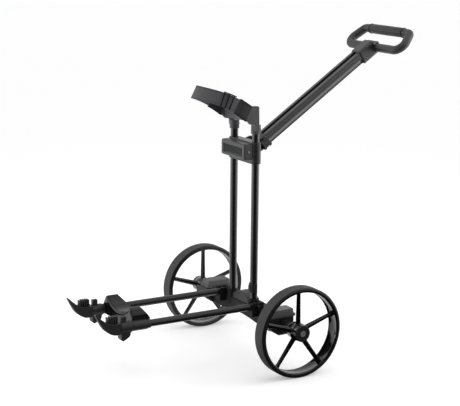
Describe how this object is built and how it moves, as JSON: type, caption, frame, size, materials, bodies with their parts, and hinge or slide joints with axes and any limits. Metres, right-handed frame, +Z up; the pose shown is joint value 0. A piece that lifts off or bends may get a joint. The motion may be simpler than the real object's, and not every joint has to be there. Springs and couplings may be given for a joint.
{
  "type": "golf bag push trolley",
  "caption": "Wheeled push trolley for a golf bag: tubular mast, hinged lower bag rest, strapped upper cradle and folding loop handle.",
  "frame": {"origin": "on the floor under the middle of the wheel axle", "axes": "+X to the trolley's left, +Y to the rear where the handle is, +Z up"},
  "size_m": [0.683, 1.1785, 1.0737],
  "materials": {
    "tube_black": "black anodised satin",
    "frame_black": "moulded, fine grain",
    "gloss_black": "gloss",
    "rim_black": "gloss",
    "tyre_rubber": "matte, ribbed tread",
    "soft_rubber": "soft touch matte",
    "loop_black": "moulded satin",
    "strap_web": "woven webbing",
    "bright_steel": "machined"
  },
  "bodies": {
    "frame": {"axle_beam": "frame_black", "axle_sleeve_left": "frame_black", "axle_sleeve_right": "frame_black", "bag_strap": "strap_web", "bonnet_left": "frame_black", "bonnet_right": "frame_black", "carrier_left": "frame_black", "carrier_right": "frame_black", "centre_cover": "frame_black", "clamp_body": "frame_black", "clamp_screws": "bright_steel", "cradle_pad": "soft_rubber", "cradle_yoke": "frame_black", "fold_clip": "frame_black", "front_cover": "frame_black", "handle_bracket": "frame_black", "handle_pivot_bolt": "bright_steel", "main_tube_left": "tube_black", "main_tube_right": "tube_black", "name_panel": "gloss_black", "pivot_block_left": "frame_black", "pivot_block_right": "frame_black", "pivot_pins": "bright_steel", "strap_buckle": "frame_black", "strap_mount_left": "soft_rubber", "strap_mount_right": "soft_rubber", "stub_axle_left": "bright_steel", "stub_axle_right": "bright_steel", "yoke_screws": "bright_steel"},
    "left_wheel": {"tyre_left": "tyre_rubber", "rim_left": "rim_black", "hub_bearings_left": "bright_steel", "hub_cap_left": "gloss_black"},
    "left_button": {"release_button_left": "gloss_black"},
    "left_claw": {"cuff_left": "frame_black", "claw_left": "frame_black", "claw_pad_left": "soft_rubber"},
    "right_wheel": {"tyre_right": "tyre_rubber", "rim_right": "rim_black", "hub_bearings_right": "bright_steel", "hub_cap_right": "gloss_black"},
    "right_button": {"release_button_right": "gloss_black"},
    "right_claw": {"cuff_right": "frame_black", "claw_right": "frame_black", "claw_pad_right": "soft_rubber"},
    "lower_frame": {"lower_tube_left": "tube_black", "lower_tube_right": "tube_black", "tube_eye_left": "frame_black", "tube_eye_right": "frame_black", "sleeve_left": "frame_black", "sleeve_right": "frame_black", "saddle": "gloss_black"},
    "handle": {"handle_shaft": "tube_black", "shaft_knuckle": "frame_black", "handle_block": "frame_black", "handle_loop": "loop_black", "grip": "soft_rubber", "grip_panel": "gloss_black"},
    "knob": {"handle_knob": "frame_black"}
  },
  "joints": [
    {"name": "left_wheel_spin", "type": "hinge", "parent": "frame", "child": "left_wheel", "pos_m": [0, 0, 0.148], "axis": [1, 0, 0], "continuous": true},
    {"name": "left_button_press", "type": "slide", "parent": "left_wheel", "child": "left_button", "axis": [-1, 0, 0], "range_m": [0, 0.003], "stiffness_N_per_m": 900, "springref_m": -0.002},
    {"name": "left_claw_turn", "type": "hinge", "parent": "lower_frame", "child": "left_claw", "pos_m": [0.106, -0.51, 0.183], "axis": [0, -1, 0], "range_deg": [0, 90]},
    {"name": "right_wheel_spin", "type": "hinge", "parent": "frame", "child": "right_wheel", "pos_m": [0, 0, 0.148], "axis": [1, 0, 0], "continuous": true},
    {"name": "right_button_press", "type": "slide", "parent": "right_wheel", "child": "right_button", "axis": [1, 0, 0], "range_m": [0, 0.003], "stiffness_N_per_m": 900, "springref_m": -0.002},
    {"name": "right_claw_turn", "type": "hinge", "parent": "lower_frame", "child": "right_claw", "pos_m": [-0.106, -0.51, 0.183], "axis": [0, 1, 0], "range_deg": [0, 90]},
    {"name": "lower_fold", "type": "hinge", "parent": "frame", "child": "lower_frame", "pos_m": [0, -0.036, 0.183], "axis": [-1, 0, 0], "range_deg": [0, 80]},
    {"name": "handle_fold", "type": "hinge", "parent": "frame", "child": "handle", "pos_m": [0, 0.038, 0.711], "axis": [-1, 0, 0], "range_deg": [0, 118]},
    {"name": "knob_turn", "type": "hinge", "parent": "frame", "child": "knob", "pos_m": [0.037, 0.038, 0.711], "axis": [1, 0, 0], "range_deg": [0, 360]}
  ]
}
